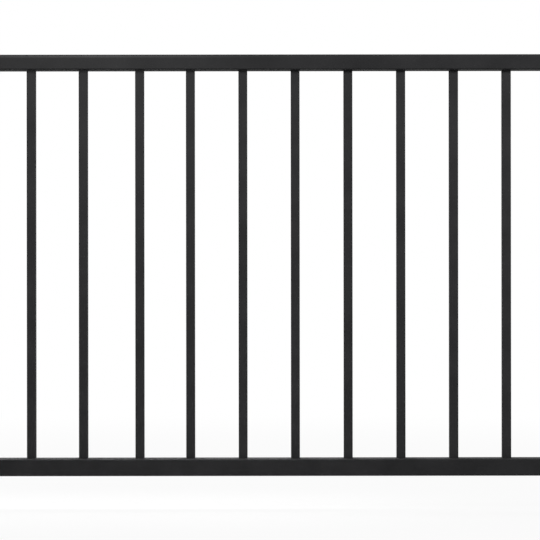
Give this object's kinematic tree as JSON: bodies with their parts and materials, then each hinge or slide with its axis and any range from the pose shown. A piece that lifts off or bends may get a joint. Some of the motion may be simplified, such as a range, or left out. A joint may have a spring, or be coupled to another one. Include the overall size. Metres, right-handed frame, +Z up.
{
  "type": "deck railing section",
  "caption": "Welded steel deck railing bay: tube rails above and below, upright square balusters between them, and flanged end sockets that screw to posts; satin black powder coat.",
  "frame": {"origin": "on the left post's face, at the middle of the lower left bracket's back face", "axes": "+X along the rails to the right post, +Z up, and the front faces -Y"},
  "size_m": [1.8288, 0.0822, 0.9213],
  "materials": {
    "rail_coat": "satin",
    "baluster_coat": "satin",
    "bracket_coat": "satin"
  },
  "bodies": {
    "root": {"top_rail": "rail_coat", "bottom_rail": "rail_coat", "baluster_01": "baluster_coat", "baluster_02": "baluster_coat", "baluster_03": "baluster_coat", "baluster_04": "baluster_coat", "baluster_05": "baluster_coat", "baluster_06": "baluster_coat", "baluster_07": "baluster_coat", "baluster_08": "baluster_coat", "baluster_09": "baluster_coat", "baluster_10": "baluster_coat", "baluster_11": "baluster_coat", "baluster_12": "baluster_coat", "baluster_13": "baluster_coat", "baluster_14": "baluster_coat", "baluster_15": "baluster_coat", "baluster_16": "baluster_coat", "bottom_left_bracket": "bracket_coat", "bottom_right_bracket": "bracket_coat", "top_left_bracket": "bracket_coat", "top_right_bracket": "bracket_coat"}
  },
  "joints": []
}
